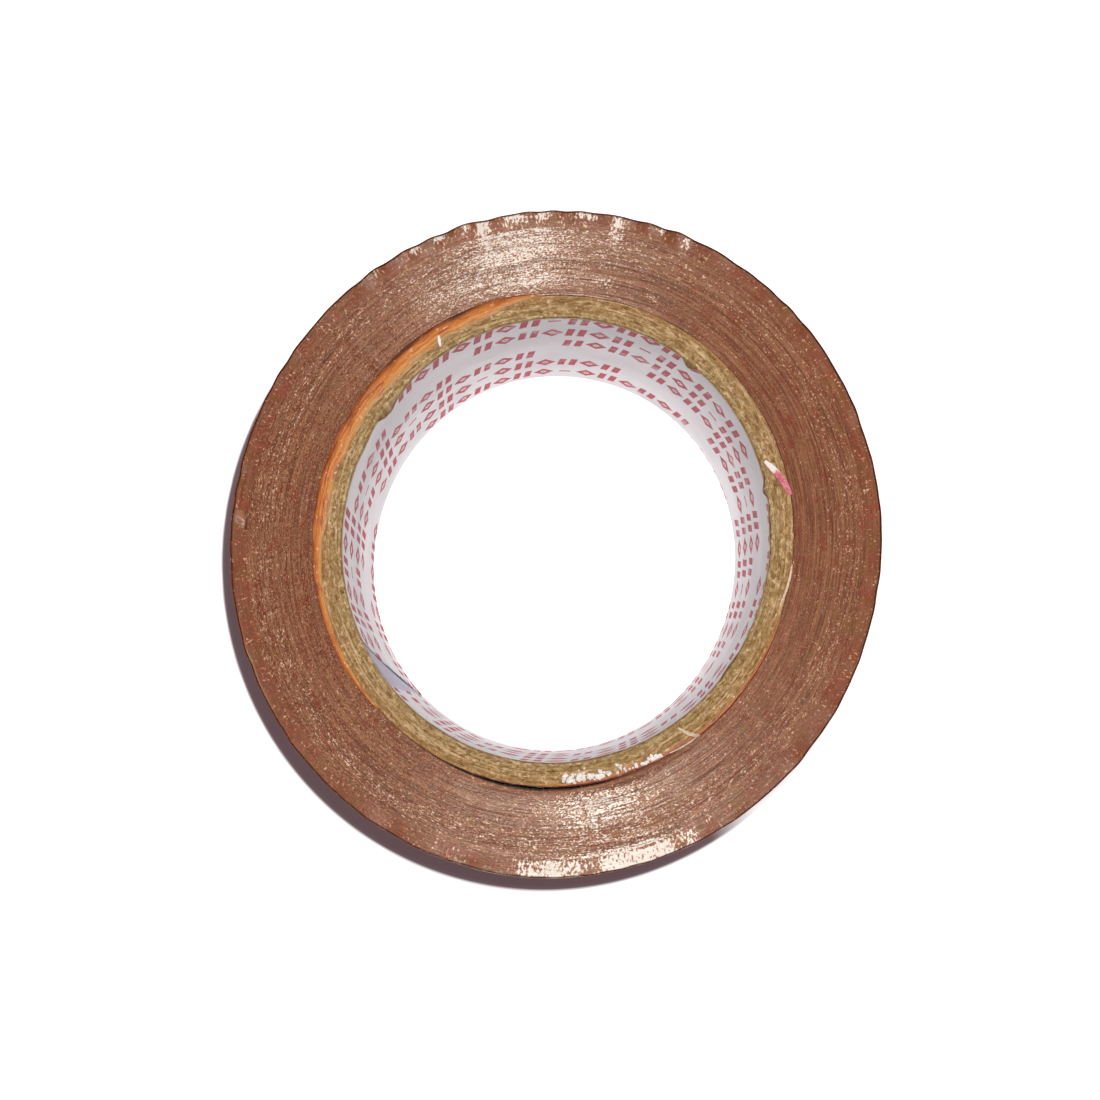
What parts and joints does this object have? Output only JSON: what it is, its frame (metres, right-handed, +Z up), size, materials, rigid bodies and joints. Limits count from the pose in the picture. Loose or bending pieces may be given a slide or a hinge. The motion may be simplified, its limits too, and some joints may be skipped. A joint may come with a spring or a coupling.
{
  "type": "tape roll",
  "caption": "Roll of glossy coppery brown film tape wound on a spiral paperboard core with a printed paper liner; the free end of the film peels away.",
  "frame": {"origin": "centre of the bottom face of the roll, which lies on its side", "axes": "+Z up along the roll's axis; the free end's cut edge is near -X; the roll is slightly longer across at 75 degrees from +X towards +Y"},
  "size_m": [0.1138, 0.1172, 0.048],
  "materials": {
    "printed_paper": "matt, crimson print",
    "core_board": "fibrous, olive brown",
    "amber_film": "gloss, translucent amber",
    "wound_film": "wound film edges, satin",
    "outer_film": "gloss film, reddish brown"
  },
  "bodies": {
    "roll": {"core_liner": "printed_paper", "core_ply_1": "core_board", "core_ply_2": "core_board", "core_ply_3": "core_board", "core_ply_4": "core_board", "core_ply_5": "core_board", "core_ply_6": "core_board", "starter_wraps": "amber_film", "inner_bank": "wound_film", "middle_bank": "wound_film", "outer_bank": "wound_film", "loose_wraps": "outer_film", "last_wrap": "outer_film"},
    "end_1": {"film_end_1": "outer_film"},
    "end_2": {"film_end_2": "outer_film"},
    "end_3": {"film_end_3": "outer_film"},
    "end_4": {"film_end_4": "outer_film"},
    "end_5": {"film_end_5": "outer_film"}
  },
  "joints": [
    {"name": "end_peel", "type": "hinge", "parent": "roll", "child": "end_1", "pos_m": [-0.02531, 0.05189, 0.024], "axis": [0, 0, -1], "range_deg": [0, 60]},
    {"name": "end_bend_2", "type": "hinge", "parent": "end_1", "child": "end_2", "pos_m": [-0.0353, 0.04518, 0.024], "axis": [0, 0, -1], "range_deg": [0, 18]},
    {"name": "end_bend_3", "type": "hinge", "parent": "end_2", "child": "end_3", "pos_m": [-0.04366, 0.03663, 0.024], "axis": [0, 0, -1], "range_deg": [0, 18]},
    {"name": "end_bend_4", "type": "hinge", "parent": "end_3", "child": "end_4", "pos_m": [-0.0501, 0.02664, 0.024], "axis": [0, 0, -1], "range_deg": [0, 18]},
    {"name": "end_bend_5", "type": "hinge", "parent": "end_4", "child": "end_5", "pos_m": [-0.05446, 0.01562, 0.024], "axis": [0, 0, -1], "range_deg": [0, 18]}
  ],
  "couplings": [
    {"joint": "end_bend_2", "follows": "end_peel", "ratio": 0.3},
    {"joint": "end_bend_3", "follows": "end_peel", "ratio": 0.3},
    {"joint": "end_bend_4", "follows": "end_peel", "ratio": 0.3},
    {"joint": "end_bend_5", "follows": "end_peel", "ratio": 0.3}
  ]
}
